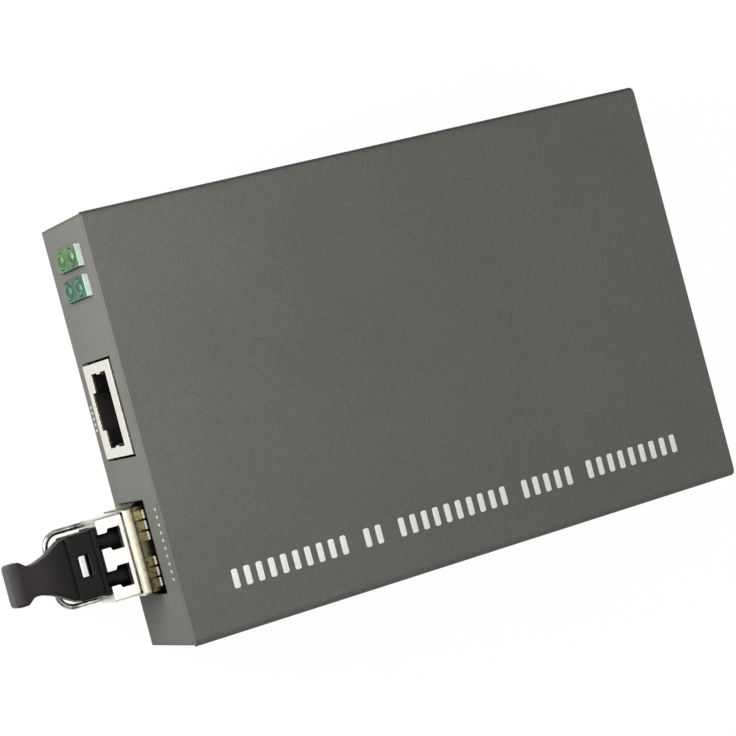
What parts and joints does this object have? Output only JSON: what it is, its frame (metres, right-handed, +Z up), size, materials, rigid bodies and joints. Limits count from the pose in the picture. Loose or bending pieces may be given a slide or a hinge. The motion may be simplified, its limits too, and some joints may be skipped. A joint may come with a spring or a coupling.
{
  "type": "fibre media converter",
  "caption": "Small sheet-metal network box that joins a copper network jack to a plug-in fibre module, with indicator lamps, a power inlet and mode switches at the back.",
  "frame": {"origin": "centre of the case's underside, on the surface it stands on", "axes": "+X to the right seen from the front, -Y out of the front panel, +Z up"},
  "size_m": [0.0724, 0.1317, 0.022],
  "materials": {
    "case_paint": "fine grey-brown powder coat",
    "bright_tin": "satin tin plate",
    "die_cast": "nickel-plated zinc casting",
    "bright_wire": "polished steel wire",
    "black_moulding": "fine matt black",
    "white_moulding": "matt white",
    "clear_holder": "milky clear",
    "green_lens": "tinted translucent green",
    "circuit_board": "green solder mask",
    "chip_black": "matt epoxy",
    "ferrite": "sintered ferrite",
    "gold_contact": "gold-plated spring wire",
    "contact_nickel": "bright nickel",
    "standoff_steel": "zinc-plated",
    "screw_steel": "zinc-plated",
    "capacitor_can": "satin can"
  },
  "bodies": {
    "case": {"base_tray": "case_paint", "top_cover": "case_paint", "cover_screws": "screw_steel", "board_standoffs": "standoff_steel", "board_screws": "screw_steel", "main_board": "circuit_board", "rj45_shield": "bright_tin", "rj45_body": "black_moulding", "rj45_contacts": "gold_contact", "lamp_holder_1": "clear_holder", "lamp_holder_2": "clear_holder", "lamp_1_lower": "green_lens", "lamp_1_upper": "green_lens", "lamp_2_lower": "green_lens", "lamp_2_upper": "green_lens", "sfp_cage": "bright_tin", "sfp_cage_pins": "bright_tin", "sfp_collar": "bright_tin", "sfp_connector": "black_moulding", "dc_inlet_body": "black_moulding", "dc_inlet_pin": "contact_nickel", "dc_inlet_spring": "contact_nickel", "switch_body": "black_moulding", "magnetics": "chip_black", "converter_chip": "chip_black", "regulator_chip": "chip_black", "crystal": "contact_nickel", "power_inductor": "ferrite", "input_capacitor": "capacitor_can", "output_capacitor": "capacitor_can"},
    "module": {"module_housing": "die_cast", "module_pan": "bright_tin", "module_board": "circuit_board", "lc_receptacle": "black_moulding", "optical_transmitter": "die_cast", "optical_receiver": "die_cast", "module_latch": "die_cast"},
    "bail": {"bail_wire": "bright_wire"},
    "plug": {"dust_plug": "black_moulding"},
    "slider_1": {"switch_slider_1": "white_moulding"},
    "slider_2": {"switch_slider_2": "white_moulding"},
    "slider_3": {"switch_slider_3": "white_moulding"},
    "slider_4": {"switch_slider_4": "white_moulding"}
  },
  "joints": [
    {"name": "module_slide", "type": "slide", "parent": "case", "child": "module", "axis": [0, -1, 0], "range_m": [0, 0.055]},
    {"name": "bail_swing", "type": "hinge", "parent": "module", "child": "bail", "pos_m": [0.0193, -0.0599, 0.00485], "axis": [1, 0, 0], "range_deg": [-12, 10]},
    {"name": "plug_pull", "type": "slide", "parent": "module", "child": "plug", "axis": [0, -1, 0], "range_m": [0, 0.012]},
    {"name": "slider_1_slide", "type": "slide", "parent": "case", "child": "slider_1", "axis": [0, 0, 1], "range_m": [0, 0.0019]},
    {"name": "slider_2_slide", "type": "slide", "parent": "case", "child": "slider_2", "axis": [0, 0, 1], "range_m": [0, 0.0019]},
    {"name": "slider_3_slide", "type": "slide", "parent": "case", "child": "slider_3", "axis": [0, 0, 1], "range_m": [0, 0.0019]},
    {"name": "slider_4_slide", "type": "slide", "parent": "case", "child": "slider_4", "axis": [0, 0, 1], "range_m": [0, 0.0019]}
  ]
}
